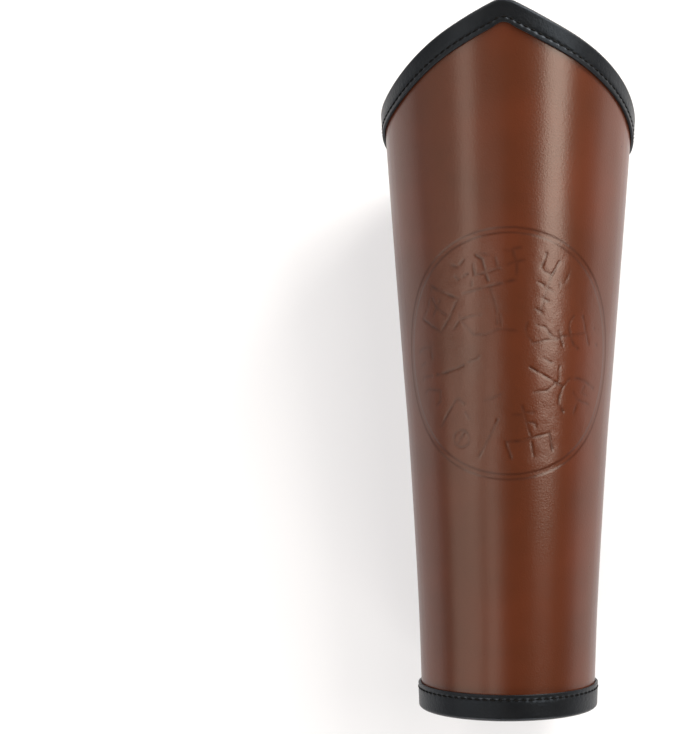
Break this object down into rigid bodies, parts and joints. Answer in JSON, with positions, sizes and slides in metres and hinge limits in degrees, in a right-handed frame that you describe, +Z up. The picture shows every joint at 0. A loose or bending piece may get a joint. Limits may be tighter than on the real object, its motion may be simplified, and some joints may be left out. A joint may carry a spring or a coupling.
{
  "type": "leather bracer",
  "caption": "Tapered leather forearm bracer with a pointed elbow edge, bound edges and an open slit with holes for a lace.",
  "frame": {"origin": "under the middle of the bracer's box, on the surface that it lies on", "axes": "+Y from the wrist edge to the elbow point, +Z up through the tooled front, +X to the right seen from above with the elbow point away"},
  "size_m": [0.0986, 0.2644, 0.1005],
  "materials": {
    "brown_leather": "smooth semi-gloss, tooled",
    "black_leather": "smooth satin, sewn"
  },
  "bodies": {
    "root": {"shell": "brown_leather", "elbow_binding": "black_leather", "wrist_binding": "black_leather"}
  },
  "joints": []
}
